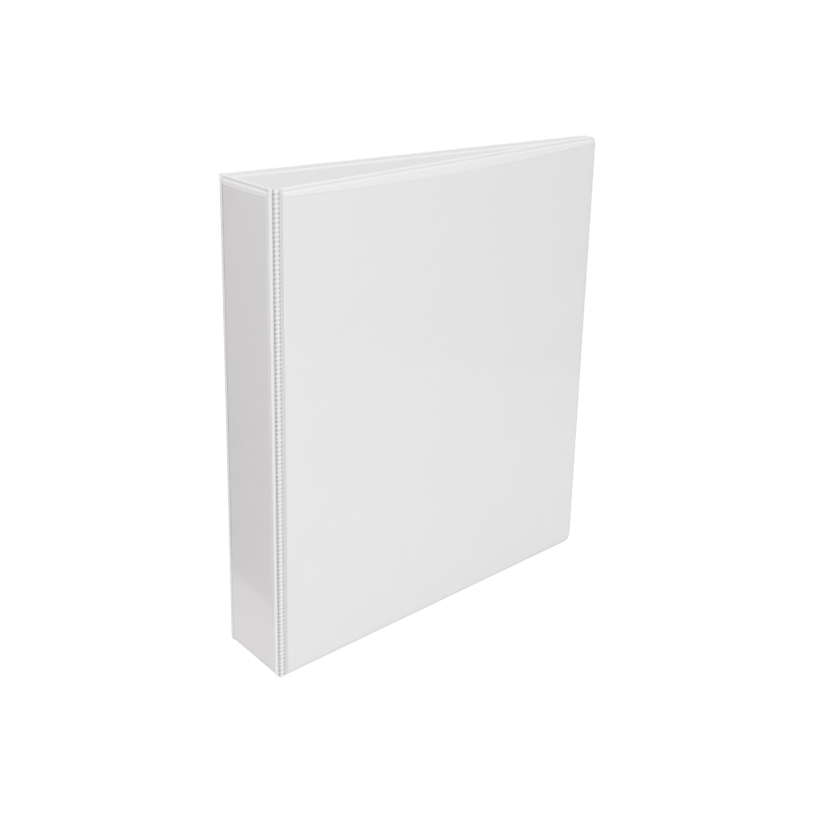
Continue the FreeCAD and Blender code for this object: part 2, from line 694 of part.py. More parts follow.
def make_lever(name, end):
    """Opening lever. Local X runs from its pin towards the middle along the jaw, local Z is across the spine."""
    hub = primitive("Cylinder", f"{name}_hub", Placement(Vector(0, 0, -size("lever_hub_width") / 2), Rotation()),
                    Radius="dims.lever_hub_radius", Height="dims.lever_hub_width")
    jaw = centred_box(f"{name}_jaw", "0", "dims.jaw_reach", "dims.jaw_width", "dims.jaw_half_height")
    lean = 90 + size("lever_tab_lean")
    half_sheet = "dims.lever_sheet / 2"
    stem = centred_box(f"{name}_stem", "0", "dims.thumb_start + dims.stem_overlap", "dims.lever_hub_width", half_sheet, lean)
    thumb = centred_box(f"{name}_thumb", "dims.thumb_start", "dims.thumb_length", "dims.thumb_width",
                        half_sheet, lean)
    rounded_thumb = round_thumb(name, thumb)
    solid = join_all(f"{name}_solid", [hub, jaw, stem, rounded_thumb])
    mouth = centred_box(f"{name}_mouth", "dims.jaw_mouth_start", "dims.jaw_reach", "dims.jaw_width + 2 * dims.overrun",
                        "dims.jaw_mouth_half_height")
    opened = cut_away(f"{name}_opened", solid, mouth)
    bore = primitive("Cylinder", f"{name}_bore", Placement(Vector(0, 0, -size("lever_hub_width")), Rotation()),
                     Radius="dims.lever_bore_radius", Height="2 * dims.lever_hub_width")
    lever = cut_away(name, opened, bore)
    lever.Label = name
    tilt = math.radians(size("lever_closed_tilt"))
    inward = Vector(-math.sin(tilt), 0, -end * math.cos(tilt))
    away = Vector(math.cos(tilt), 0, -end * math.sin(tilt))
    base = Vector(MECHANISM_X + size("plate_pivot_height"), 0, lever_pin_height(end))
    return finish(lever, turned(inward, away, base))


def round_thumb(name, thumb):
    """Round the two far corners of the thumb tab: its edges across the sheet, furthest from the pin."""
    doc.recompute()
    shape = thumb.Shape
    short = [(number, edge) for number, edge in enumerate(shape.Edges, start=1)
             if abs(edge.Length - size("lever_sheet")) < 1e-6]
    far_two = sorted(short, key=lambda item: item[1].CenterOfMass.Length)[-2:]
    fillet = doc.addObject("Part::Fillet", f"{name}_rounded_thumb")
    fillet.Base = thumb
    radius = size("thumb_corner_radius")
    fillet.Edges = [(number, radius, radius) for number, _ in far_two]
    return fillet


def make_mechanism():
    make_housing()
    make_rivets()
    make_lever_pins()
    make_lever("lever_bottom", -1)
    make_lever("lever_top", 1)
    for side in ("front", "back"):
        make_ring_plate(side)
        for row, name in ((-1, "bottom"), (0, "middle"), (1, "top")):
            make_half_ring(side, name, MID_HEIGHT + row * size("ring_spacing"))


# ---------------------------------------------------------------- checks and export

def check_document():
    for obj in doc.Objects:
        if "Invalid" in obj.State or "Error" in obj.State:
            raise RuntimeError(f"{obj.Name} failed: {obj.State}")
    for obj in sub_parts:
        if obj.Shape.isNull() or not obj.Shape.isValid():
            raise RuntimeError(f"{obj.Label} has no valid shape")


def export():
    os.makedirs("parts", exist_ok=True)
    for obj in sub_parts:
        obj.Shape.exportStep(f"parts/{obj.Label}.step")
        print(f"{obj.Label}: {len(obj.Shape.Solids)} solid, {obj.Shape.Volume:.1f} mm3")


make_spine()
for cover_side in ("front", "back"):
    make_hinge_weld(cover_side)
    make_cover(cover_side)
make_mechanism()
doc.recompute()
check_document()
export()
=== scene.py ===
import json
import math

import bmesh
import bpy
import numpy as np
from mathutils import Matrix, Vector


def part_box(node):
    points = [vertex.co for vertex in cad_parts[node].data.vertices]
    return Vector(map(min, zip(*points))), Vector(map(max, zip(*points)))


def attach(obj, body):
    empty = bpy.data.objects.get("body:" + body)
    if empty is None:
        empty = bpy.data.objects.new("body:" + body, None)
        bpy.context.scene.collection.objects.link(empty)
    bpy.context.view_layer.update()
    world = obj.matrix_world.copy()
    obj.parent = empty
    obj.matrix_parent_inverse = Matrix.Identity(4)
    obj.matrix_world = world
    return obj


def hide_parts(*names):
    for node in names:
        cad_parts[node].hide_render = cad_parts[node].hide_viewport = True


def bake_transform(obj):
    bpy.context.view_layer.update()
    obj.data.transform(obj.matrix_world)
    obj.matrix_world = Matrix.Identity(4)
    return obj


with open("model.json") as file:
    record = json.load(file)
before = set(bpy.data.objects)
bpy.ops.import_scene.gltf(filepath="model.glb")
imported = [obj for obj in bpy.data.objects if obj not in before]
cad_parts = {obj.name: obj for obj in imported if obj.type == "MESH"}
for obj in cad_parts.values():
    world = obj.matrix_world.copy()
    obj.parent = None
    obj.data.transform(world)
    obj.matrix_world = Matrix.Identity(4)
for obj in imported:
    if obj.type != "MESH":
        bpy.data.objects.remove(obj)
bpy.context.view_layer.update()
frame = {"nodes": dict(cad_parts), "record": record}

MM = 0.001

# ---------------------------------------------------------------- driving dimensions, in metres unless said

LEAN = math.radians(5.37)                # each cover's lean towards the other, closed
COVER_WIDTH = 267.0 * MM                 # hinge axis to fore-edge
CORNER_RADIUS = 6.0 * MM                 # fore-edge corners
FILM_DROP = 7.6 * MM                     # top edge of a panel to the open edge of its film
SKIN_FACE = 1.55 * MM                    # mid-plane of a panel to the face of its vinyl over the board
RIM_FACE = 0.40 * MM                     # mid-plane to the face of the vinyl's welded rim
FILM_FACE = 2.05 * MM                    # mid-plane to the face of the clear film
VINYL = 0.38 * MM
FILM = 0.25 * MM
TOOTH_COUNT = 115                        # teeth of the hinge weld over the height

weld_low, weld_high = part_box("front_hinge_weld")
HINGE_X = (weld_low.x + weld_high.x) / 2
HINGE_Y = -(weld_low.y + weld_high.y) / 2
HEIGHT = weld_high.z - weld_low.z
SPINE_WIDTH = 2 * HINGE_Y
SHADE_ATTRIBUTE = "painted_shade_share"                        # mesh attribute: painted shade in a pressed groove, partly the vinyl's own grey, and a painted shade line along a film's cut edge


class Panel:
    """Flat frame of a cover or of the spine.

    A point of it is a distance from the hinge axis, a height, and a distance out of the mid-plane.
    """

    def __init__(self, origin, along, out, width, has_fore_edge):
        self.origin = np.array(origin)
        self.along = np.array(along)
        self.out = np.array(out)
        self.width = width
        self.has_fore_edge = has_fore_edge

    def place(self, u, z, h):
        u, z, h = (np.asarray(a, float)[..., None] for a in (u, z, h))
        return self.origin + self.along * u + self.out * h + np.array((0.0, 0.0, 1.0)) * z


COS, SIN = math.cos(LEAN), math.sin(LEAN)
PANELS = {
    "front": Panel((HINGE_X, -HINGE_Y, 0), (COS, SIN, 0), (SIN, -COS, 0), COVER_WIDTH, True),
    "back": Panel((HINGE_X, HINGE_Y, 0), (COS, -SIN, 0), (SIN, COS, 0), COVER_WIDTH, True),
    "spine": Panel((HINGE_X, -HINGE_Y, 0), (0, 1, 0), (-1, 0, 0), SPINE_WIDTH, False),
}
BODY = {"front": "front_cover", "back": "back_cover", "spine": "spine"}

# ---------------------------------------------------------------- node materials


class Nodes:
    """Short way to lay out a material's nodes."""

    def __init__(self, name):
        self.material = bpy.data.materials.new(name)
        self.material.use_nodes = True
        self.tree = self.material.node_tree
        self.tree.nodes.clear()
        self.output = self.add("OutputMaterial")
        self.place = self.add("TexCoord").outputs["Object"]

    def add(self, kind, **inputs):
        node = self.tree.nodes.new("ShaderNode" + kind)
        for key, value in inputs.items():
            socket = node.inputs[key.replace("_", " ")]
            if isinstance(value, bpy.types.NodeSocket):
                self.tree.links.new(value, socket)
            else:
                socket.default_value = value
        return node

    def noise(self, scale, detail=3.0, roughness=0.5, stretch=None):
        where = self.place
        if stretch:
            mapping = self.add("Mapping", Vector=where)
            mapping.inputs["Scale"].default_value = stretch
            where = mapping.outputs[0]
        noise = self.add("TexNoise", Vector=where, Scale=scale, Detail=detail, Roughness=roughness)
        return noise.outputs["Fac"]

    def ramp(self, value, low, high, to_low=0.0, to_high=1.0):
        node = self.add("MapRange", Value=value)
        for key, number in (("From Min", low), ("From Max", high), ("To Min", to_low), ("To Max", to_high)):
            node.inputs[key].default_value = number
        return node.outputs[0]

    def colours(self, factor, first, second):
        node = self.tree.nodes.new("ShaderNodeMix")
        node.data_type = "RGBA"
        self.tree.links.new(factor, node.inputs["Factor"])
        for socket, value in ((node.inputs["A"], first), (node.inputs["B"], second)):
            if isinstance(value, bpy.types.NodeSocket):
                self.tree.links.new(value, socket)
            else:
                socket.default_value = (*value, 1.0)
        return node.outputs["Result"]

    def maths(self, operation, first, second=0.0):
        node = self.tree.nodes.new("ShaderNodeMath")
        node.operation = operation
        for socket, value in zip(node.inputs, (first, second)):
            if isinstance(value, bpy.types.NodeSocket):
                self.tree.links.new(value, socket)
            else:
                socket.default_value = value
        return node.outputs[0]

    def bump(self, height, distance, strength=1.0, normal=None):
        node = self.add("Bump", Height=height, Distance=distance, Strength=strength)
        if normal is not None:
            self.tree.links.new(normal, node.inputs["Normal"])
        return node.outputs[0]

    def finish(self, shader):
        self.tree.links.new(shader, self.output.inputs["Surface"])
        return self.material


def painted_shade_share(nodes):
    """Painted shade that a mesh gives its sheet: in pressed grooves, partly their own grey, and as a line along
    a film's cut edge. 0 where it doesn't say.
    """
    node = nodes.add("Attribute")
    node.attribute_name = SHADE_ATTRIBUTE
    return node.outputs["Fac"]


def specks(nodes, spacing, radius, share):
    """1 inside sparse tiny dots, 0 elsewhere: one dot in that share of the cells of the given spacing."""
    cells = nodes.add("TexVoronoi", Vector=nodes.place, Scale=1 / spacing)
    inside = nodes.maths("LESS_THAN", cells.outputs["Distance"], radius / spacing)
    separate = nodes.add("SeparateColor", Color=cells.outputs["Color"])
    chosen = nodes.maths("LESS_THAN", separate.outputs[0], share)
    return nodes.maths("MULTIPLY", inside, chosen)


# Colour of the painted shade in the vinyl's grooves and between the hinge's teeth, partly the welded vinyl's
# own grey.
GROOVE_SHADE_AND_GREY = (0.14, 0.145, 0.175)


def make_white_vinyl():
    n = Nodes("white_vinyl_sheet")
    cloudy = n.ramp(n.noise(14, 4), 0.35, 0.65)
    colour = n.colours(cloudy, (0.88, 0.872, 0.862), (0.905, 0.90, 0.885))
    colour = n.colours(specks(n, 0.03, 0.00016, 0.25), colour, (0.42, 0.41, 0.4))
    # Painted shade in the grooves and between the hinge's teeth, partly the vinyl's own grey.
    colour = n.colours(painted_shade_share(n), colour, GROOVE_SHADE_AND_GREY)
    roughness = n.ramp(n.noise(60, 3), 0.3, 0.7, 0.28, 0.4)
    soft = n.bump(n.noise(1400, 2), 0.00003, 0.5)
    normal = n.bump(n.noise(220, 2), 0.00004, 0.35, soft)
    shader = n.add("BsdfPrincipled", Base_Color=colour, Roughness=roughness, Normal=normal)
    shader.inputs["IOR"].default_value = 1.52
    return n.finish(shader.outputs[0])


def make_liner_vinyl():
    n = Nodes("liner_vinyl_sheet")
    cloudy = n.ramp(n.noise(10, 4), 0.35, 0.65)
    colour = n.colours(cloudy, (0.86, 0.86, 0.885), (0.89, 0.888, 0.9))
    roughness = n.ramp(n.noise(90, 3), 0.3, 0.7, 0.42, 0.56)
    grain = n.add("TexVoronoi", Vector=n.place, Scale=1700.0).outputs["Distance"]
    normal = n.bump(grain, 0.00005, 0.5)
    shader = n.add("BsdfPrincipled", Base_Color=colour, Roughness=roughness, Normal=normal)
    shader.inputs["IOR"].default_value = 1.5
    return n.finish(shader.outputs[0])


def make_clear_film():
    """Clear glossy film that mirrors by angle, with a faint milky veil, dust, and a painted shade line along
    its cut edge.
    """
    n = Nodes("clear_film_sheet")
    edge_shade_line = painted_shade_share(n)
    haze = n.ramp(n.noise(25, 4), 0.4, 0.7, 0.035, 0.075)
    grain = specks(n, 0.035, 0.00022, 0.22)
    dust = n.maths("MULTIPLY", grain, 0.6)
    veil = n.maths("MAXIMUM", haze, dust)
    # Painted shade line along the cut edge: a grey veil there.
    veil = n.maths("MAXIMUM", veil, n.maths("MULTIPLY", edge_shade_line, 0.3))
    veil_colour = n.colours(grain, (0.93, 0.93, 0.95), (0.2, 0.19, 0.18))
    veil_colour = n.colours(edge_shade_line, veil_colour, (0.40, 0.41, 0.43))
    smooth = n.bump(n.noise(9, 2), 0.0004, 0.4)
    normal = n.bump(n.noise(500, 2), 0.000004, 0.3, smooth)
    roughness = n.ramp(n.noise(40, 3), 0.3, 0.7, 0.05, 0.11)
    clear = n.add("BsdfTransparent", Color=(0.957, 0.955, 0.963, 1.0))
    body = n.add("BsdfDiffuse", Color=veil_colour, Normal=normal)
    gloss = n.add("BsdfGlossy", Color=(1.0, 1.0, 1.0, 1.0), Roughness=roughness, Normal=normal)
    inside = n.add("MixShader", Fac=veil)
    n.tree.links.new(clear.outputs[0], inside.inputs[1])
    n.tree.links.new(body.outputs[0], inside.inputs[2])
    fresnel = n.add("Fresnel", Normal=normal)
    fresnel.inputs["IOR"].default_value = 1.7
    entering = n.maths("SUBTRACT", 1.0, n.add("NewGeometry").outputs["Backfacing"])
    shader = n.add("MixShader", Fac=n.maths("MULTIPLY", fresnel.outputs[0], entering))
    n.tree.links.new(inside.outputs[0], shader.inputs[1])
    n.tree.links.new(gloss.outputs[0], shader.inputs[2])
    return n.finish(shader.outputs[0])


def make_chipboard():
    n = Nodes("grey_chipboard")
    fibre = n.noise(700, 6, 0.7, (1.0, 1.0, 0.35))
    colour = n.colours(n.ramp(fibre, 0.3, 0.7), (0.30, 0.265, 0.22), (0.48, 0.43, 0.365))
    colour = n.colours(specks(n, 0.004, 0.0004, 0.3), colour, (0.2, 0.18, 0.16))
    normal = n.bump(fibre, 0.0002, 0.6)
    shader = n.add("BsdfPrincipled", Base_Color=colour, Normal=normal)
    shader.inputs["Roughness"].default_value = 0.9
    return n.finish(shader.outputs[0])


def make_plated_steel(name, light, dark, low_roughness, high_roughness, stretch):
    n = Nodes(name)
    drawn = n.noise(900, 4, 0.6, stretch)
    cloudy = n.ramp(n.noise(35, 4), 0.35, 0.7)
    colour = n.colours(cloudy, light, dark)
    roughness = n.ramp(drawn, 0.3, 0.7, low_roughness, high_roughness)
    normal = n.bump(drawn, 0.00002, 0.25)
    shader = n.add("BsdfPrincipled", Base_Color=colour, Roughness=roughness, Normal=normal)
    shader.inputs["Metallic"].default_value = 1.0
    return n.finish(shader.outputs[0])


WHITE_VINYL = make_white_vinyl()
LINER_VINYL = make_liner_vinyl()
CLEAR_FILM = make_clear_film()
CHIPBOARD = make_chipboard()
NICKEL = make_plated_steel("nickel_plated_wire_bright", (0.80, 0.79, 0.77), (0.70, 0.69, 0.67), 0.12, 0.24,
                           (1.0, 1.0, 0.3))
ZINC = make_plated_steel("zinc_plated_steel_dull", (0.66, 0.67, 0.68), (0.52, 0.53, 0.55), 0.30, 0.46,
                         (1.0, 1.0, 0.15))

# ---------------------------------------------------------------- mesh tools


def make_object(name, points, faces, material, sharp_degrees=55, painted_shade=None):
    mesh = bpy.data.meshes.new(name)
    mesh.from_pydata([tuple(p) for p in points], [], faces)
    shape = bmesh.new()
    shape.from_mesh(mesh)
    bmesh.ops.recalc_face_normals(shape, faces=shape.faces)
    shape.to_mesh(mesh)
    shape.free()
    # Painted shade per point: in grooves, partly their own grey, and as a line along a film's cut edge.
    if painted_shade is not None:
        attribute = mesh.attributes.new(SHADE_ATTRIBUTE, "FLOAT", "POINT")
        attribute.data.foreach_set("value", np.asarray(painted_shade, np.float32))
    mesh.materials.append(material)
    mesh.shade_smooth()
    mesh.set_sharp_from_angle(angle=math.radians(sharp_degrees))
    obj = bpy.data.objects.new(name, mesh)
    bpy.context.scene.collection.objects.link(obj)
    return obj


def shell_faces(rows, columns):
    """Quads of two grids of rows x columns points, one behind the other, and of the rim that joins them."""
    faces = []
    second = rows * columns
    for r in range(rows - 1):
        for c in range(columns - 1):
            a, b = r * columns + c, r * columns + c + 1
            d, e = a + columns, b + columns
            faces.append((a, b, e, d))
            faces.append((second + a, second + d, second + e, second + b))
    border = ([c for c in range(columns - 1)]
              + [r * columns + columns - 1 for r in range(rows - 1)]
              + [(rows - 1) * columns + c for c in range(columns - 1, 0, -1)]
              + [r * columns for r in range(rows - 1, 0, -1)])
    for index, a in enumerate(border):
        b = border[(index + 1) % len(border)]
        faces.append((a, second + a, second + b, b))
    return faces


def round_corners(panel, u, z):
    """Bend a cover's square grid round its fore-edge corners, keeping each point's distance to the edge."""
    if not panel.has_fore_edge:
        return u, z
    u, z = u.copy(), z.copy()
    start = panel.width - CORNER_RADIUS
    for low_end in (True, False):
        a = u - start
        b = CORNER_RADIUS - z if low_end else z - (HEIGHT - CORNER_RADIUS)
        corner = (a > 0) & (b > 0)
        reach = np.maximum(a, b)[corner]
        wide = np.minimum(a, b)[corner] / reach
        angle = np.where(a[corner] >= b[corner], wide, 2 - wide) * math.pi / 4
        u[corner] = start + reach * np.cos(angle)
        upright = reach * np.sin(angle)
        z[corner] = CORNER_RADIUS - upright if low_end else HEIGHT - CORNER_RADIUS + upright
    return u, z


def lines(start, end, step):
    """Evenly spaced grid lines strictly between two distances."""
    count = max(1, round((end - start) / step))
    return [start + (end - start) * k / count for k in range(1, count)]


def make_shell(name, panel, us, zs, outer, inner, material, painted_shade=None, lift=None):
    """Closed sheet over a grid of a panel, between two heights. lift moves its points up the panel."""
    u, z = np.meshgrid(np.array(us), np.array(zs))
    bent_u, bent_z = round_corners(panel, u, z + lift(u, z) if lift else z)
    sheets = [panel.place(bent_u, bent_z, height(u, z)).reshape(-1, 3) for height in (outer, inner)]
    shares = np.tile(painted_shade(u, z).ravel(), 2) if painted_shade else None
    faces = shell_faces(len(zs), len(us))
    return make_object(name, np.concatenate(sheets), faces, material, painted_shade=shares)


# ---------------------------------------------------------------- profiles across an edge, in millimetres

# Rise from the welded rim to the raised field, as (distance past the foot of the rise, share of the rise).
RISE = ((-0.12, 0.0), (-0.02, 0.05), (0.05, 0.24), (0.14, 0.5), (0.28, 0.72), (0.48, 0.87), (0.75, 0.965),
        (1.1, 1.0))
# Rolled bead of the edge weld, as (distance from the edge, height over the rim).
BEAD = ((0.0, -0.36), (0.05, -0.17), (0.16, 0.02), (0.34, 0.17), (0.58, 0.23), (0.82, 0.18), (1.0, 0.07),
        (1.14, 0.0))
# Painted shade in the vinyl's grooves, partly the welded vinyl's own grey, as (distance from the edge, share),
# (distance past the foot of the hinge's rise, share) and (distance from the fore-edge, share). The spine gets
# only a little of its fold groove's painted shade.
EDGE_GROOVE_SHADE = ((0.95, 0.0), (1.2, 0.32), (1.9, 0.38), (2.2, 0.2), (2.5, 0.0))
FOLD_GROOVE_SHADE = ((-1.9, 0.75), (-0.1, 0.7), (0.3, 0.4), (1.0, 0.0))
FORE_EDGE_SHADE = ((0.0, 0.4), (0.3, 0.3), (0.6, 0.0))
SPINE_FOLD_SHADE_SHARE = 0.2
EDGE_RISE = 2.2                          # edge of a panel to the foot of its rise
COVER_HINGE_RISE = 4.6                   # hinge axis to the foot of the rise
SPINE_HINGE_RISE = 3.9


def profile(table, distance):
    xs, ys = zip(*table)
    return np.interp(distance / MM, xs, ys)


def edge_distance(panel, u, z):
    """Nearest of the edges that carry a weld bead: top, bottom and, on a cover, the fore-edge."""
    distance = np.minimum(z, HEIGHT - z)
    return np.minimum(distance, panel.width - u) if panel.has_fore_edge else distance


def hinge_distance(panel, u):
    return u if panel.has_fore_edge else np.minimum(u, panel.width - u)


def shifted(table, start):
    return [(x + start, y) for x, y in table]


def undulation(u, z, seed, amplitude, wavelength):
    """Slow uneven waves of a sheet, the same each run."""
    random = np.random.RandomState(seed)
    total = np.zeros_like(u)
    for _ in range(5):
        angle = random.uniform(0, math.pi)
        length = wavelength * random.uniform(0.7, 1.6)
        phase = random.uniform(0, 2 * math.pi)
        total += np.sin((u * math.cos(angle) + z * math.sin(angle)) * 2 * math.pi / length + phase)
    return total * amplitude / 5


def hinge_rise(panel):
    return COVER_HINGE_RISE if panel.has_fore_edge else SPINE_HINGE_RISE


SKIN_WAVE = 0.05 * MM                    # height and length of the waves of the skin over its board
SKIN_WAVELENGTH = 0.11


def skin_height(panel, u, z, seed):
    """Height of a skin's face over the panel's mid-plane."""
    edge = edge_distance(panel, u, z)
    from_edge = profile(shifted(RISE, EDGE_RISE), edge)
    from_hinge = profile(shifted(RISE, hinge_rise(panel)), hinge_distance(panel, u))
    rise = np.minimum(from_edge, from_hinge)
    bead = profile(BEAD, edge) * MM
    waves = undulation(u, z, seed, SKIN_WAVE, SKIN_WAVELENGTH) * rise
    return RIM_FACE + (SKIN_FACE - RIM_FACE) * rise + bead + waves


EDGE_LINES = (1.7, 4.4, 6.0)             # further grid lines, from the edge
HINGE_LINES = (2.5, 5.0)                 # and from the foot of the hinge's rise


def grid_lines(panel, rise_hinge, first, edge_first, step):
    """Lines across and up a panel: close together at its welds, and step apart over the board."""
    edge = [x for x, _ in BEAD] + [x + EDGE_RISE for x, _ in RISE] + [*EDGE_LINES]
    edge = sorted({round(x, 8) for x in [edge_first, *[x * MM for x in edge]] if x >= edge_first})
    hinge = [x + rise_hinge for x in [*[x for x, _ in RISE], *HINGE_LINES]]
    hinge = sorted({round(x, 8) for x in [first, *[x * MM for x in hinge]] if x >= first})
    across_end = panel.width - edge[-1] if panel.has_fore_edge else panel.width - hinge[-1]
    far = [panel.width - x for x in reversed(edge if panel.has_fore_edge else hinge)]
    across = hinge + lines(hinge[-1], across_end, step) + far
    upright = edge + lines(edge[-1], HEIGHT - edge[-1], step) + [HEIGHT - x for x in reversed(edge)]
    return across, upright


# ---------------------------------------------------------------- panels: skins, liners, films and pockets

RIM_START = 1.65 * MM                    # hinge axis to the near edge of a skin
SKIN_STEP = 11 * MM                      # between grid lines over the board
FILM_STEP = 7 * MM


def make_skin(side, is_liner):
    """Welded vinyl skin of a panel: its white outside, or its lining."""
    panel = PANELS[side]
    seed = 10 + sorted(PANELS).index(side) + (3 if is_liner else 0)
    sign = -1 if is_liner else 1
    us, zs = grid_lines(panel, hinge_rise(panel), RIM_START, 0.0, SKIN_STEP)

    def outer(u, z):
        return sign * skin_height(panel, u, z, seed)

    def inner(u, z):
        return sign * np.maximum(skin_height(panel, u, z, seed) - VINYL, 0.01 * MM)

    # Painted shade along the edge grooves, the fold groove and the fore-edge, partly the vinyl's own grey.
    def painted_shade(u, z):
        groove_shade = profile(EDGE_GROOVE_SHADE, edge_distance(panel, u, z))
        fold_shade = profile(shifted(FOLD_GROOVE_SHADE, hinge_rise(panel)), hinge_distance(panel, u))
        if not panel.has_fore_edge:
            return np.maximum(groove_shade, SPINE_FOLD_SHADE_SHARE * fold_shade)
        return np.maximum(np.maximum(groove_shade, fold_shade), profile(FORE_EDGE_SHADE, panel.width - u))

    if is_liner:
        name, node, material, slot = f"{side}_lining", f"{side}_liner", LINER_VINYL, "liner_vinyl"
    else:
        name, node, material, slot = f"{side}_vinyl", f"{side}_outer_skin", WHITE_VINYL, "white_vinyl"
    piece = make_shell(name, panel, us, zs, outer, inner, material, painted_shade)
    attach(piece, BODY[side])
    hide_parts(node)


FILM_START = {"front": 4.15 * MM, "back": 4.15 * MM, "spine": 3.6 * MM}
FILM_RISE = {"front": 4.05, "back": 4.05, "spine": 3.65}    # mm from the hinge axis to the film's rise
FILM_EDGE_RISE = 1.65                    # mm from the edge of the panel to the film's rise
FILM_EDGE = 1.3 * MM                     # edge of a panel to the edge of its film
FILM_RIM_FACE = 0.67 * MM
FILM_SAG = {"front": 3.3 * MM, "back": 3.3 * MM, "spine": 0.5 * MM}    # open edge's middle, below its ends
FILM_LIFT = {"front": 0.0, "back": 0.0, "spine": 2.3 * MM}    # and above a drop of FILM_DROP
LIFT_REACH = 60 * MM                     # height over which the open edge's curve fades out
MOUTH_BULGE = 1.1 * MM
MOUTH_REACH = 26 * MM                    # height over which the open top of a film bulges
EDGE_SHADE_HEIGHT = 0.35 * MM                     # height of the painted shade line along the film's cut edge
FILM_WAVE = {"front": 0.42 * MM, "back": 0.42 * MM, "spine": 0.12 * MM}
FILM_WAVELENGTH = 0.15
FILM_SLACK = 0.3 * MM                    # how far a film stands off over the middle of its panel
SPINE_SLACK_SHARE = 0.35                 # of a cover's bulge and slack, on the narrow spine
CALM_REACH = 30 * MM                     # from a film's weld to where its waves are full


def film_height(side, u, z, seed):
    """Height of a film's face over the panel's mid-plane."""
    panel = PANELS[side]
    start = FILM_START[side]
    edge = np.minimum(z, panel.width - u) if panel.has_fore_edge else z
    hinge = hinge_distance(panel, u)
    from_edge = profile(shifted(RISE, FILM_EDGE_RISE), edge)
    rise = np.minimum(from_edge, profile(shifted(RISE, FILM_RISE[side]), hinge))
    across = np.clip((u - start) / (panel.width - 2 * start), 0, 1)
    down = np.clip((HEIGHT - FILM_DROP - z) / MOUTH_REACH, 0, 1)
    mouth = np.sin(across * math.pi) ** 2 * (1 - down) ** 2
    size = 1.0 if panel.has_fore_edge else SPINE_SLACK_SHARE
    waves = undulation(u, z, seed, FILM_WAVE[side], FILM_WAVELENGTH)
    calm = np.clip(np.minimum(hinge - start, np.minimum(edge, panel.width - u)) / CALM_REACH, 0, 1)
    loose = MOUTH_BULGE * size * mouth + (waves + FILM_SLACK * size) * calm * (2 - calm)
    return FILM_RIM_FACE + (FILM_FACE - FILM_RIM_FACE + loose) * rise


def make_film(side):
    """Clear film, open at the top, where its edge sags between the welds."""
    panel = PANELS[side]
    start = FILM_START[side]
    seed = 30 + sorted(PANELS).index(side)
    us, zs = grid_lines(panel, FILM_RISE[side], start, FILM_EDGE, FILM_STEP)
    top = HEIGHT - FILM_DROP
    edge_shade_start = top - 0.95 * EDGE_SHADE_HEIGHT
    near_top = (4.5 * MM, 3.0 * MM, 1.8 * MM, 0.9 * MM, EDGE_SHADE_HEIGHT, 0.9 * EDGE_SHADE_HEIGHT, 0.0)
    zs = [z for z in zs if z < top - 6 * MM] + [top - distance for distance in near_top]

    def outer(u, z):
        return film_height(side, u, z, seed)

    def inner(u, z):
        return outer(u, z) - FILM

    # Painted shade line along the film's cut top edge.
    def edge_shade_line(u, z):
        return np.where(z > edge_shade_start, 1.0, 0.0)

    def lift(u, z):
        middle = (panel.width + start) / 2
        ends = ((u - middle) / (panel.width - middle)) ** 2
        reach = np.clip((z - (top - LIFT_REACH)) / LIFT_REACH, 0, 1) ** 2
        return (FILM_SAG[side] * ends + FILM_LIFT[side]) * reach

    piece = make_shell(f"{side}_overlay", panel, us, zs, outer, inner, CLEAR_FILM, edge_shade_line, lift)
    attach(piece, BODY[side])
    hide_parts(f"{side}_film")


POCKET = {"left": 12 * MM, "right": COVER_WIDTH - 12 * MM, "bottom": 4 * MM, "top": 122 * MM}
POCKET_WELD = 2.4 * MM                   # pocket's edge to its weld line
POCKET_THICKNESS = 0.3 * MM
POCKET_SLACK = (0.12 * MM, 0.75 * MM)    # off the liner: everywhere, and more at the open top
POCKET_REACH = 26 * MM                   # from the weld to where the pocket is fully slack
WELD_DENT = 0.16 * MM
DENT_WIDTH = 0.6 * MM


def make_pocket(side):
    """Inner pocket: a sheet welded down three sides, with a little slack at its open top."""
    panel = PANELS[side]
    left, right, bottom, top = (POCKET[k] for k in ("left", "right", "bottom", "top"))
    near = [0.0, 0.5 * MM, 1.2 * MM, 1.7 * MM, POCKET_WELD, 3.1 * MM, 3.6 * MM, 5.5 * MM, 9 * MM]
    us = [left + x for x in near] + lines(left + near[-1], right - near[-1], 9 * MM)
    us += [right - x for x in near[::-1]]
    zs = ([bottom + x for x in near] + lines(bottom + near[-1], top - 5 * MM, 8 * MM)
          + [top - d * MM for d in (5.0, 3.0, 1.6, 0.7, 0.0)])

    def outer(u, z):
        edge = np.minimum(np.minimum(u - left, right - u), z - bottom)
        dent = np.exp(-(((edge - POCKET_WELD) / DENT_WIDTH) ** 2)) * WELD_DENT
        loose = np.clip((edge - POCKET_WELD) / POCKET_REACH, 0, 1)
        loose = loose * loose * (3 - 2 * loose)
        rise = np.clip((z - bottom) / (top - bottom), 0, 1)
        slack = POCKET_SLACK[0] + POCKET_SLACK[1] * rise ** 4 + undulation(u, z, 50, 0.12 * MM, 0.09)
        return -(SKIN_FACE + 0.1 * MM + POCKET_THICKNESS - dent + np.maximum(slack, 0) * loose)

    def inner(u, z):
        return outer(u, z) + POCKET_THICKNESS * 0.7

    piece = make_shell(f"{side}_pocket", panel, us, zs, outer, inner, LINER_VINYL)
    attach(piece, BODY[side])
    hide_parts(f"{side}_inner_pocket")


for panel_side in ("front", "back", "spine"):
    make_skin(panel_side, False)
    make_skin(panel_side, True)
    make_film(panel_side)
for cover_side in ("front", "back"):
    make_pocket(cover_side)
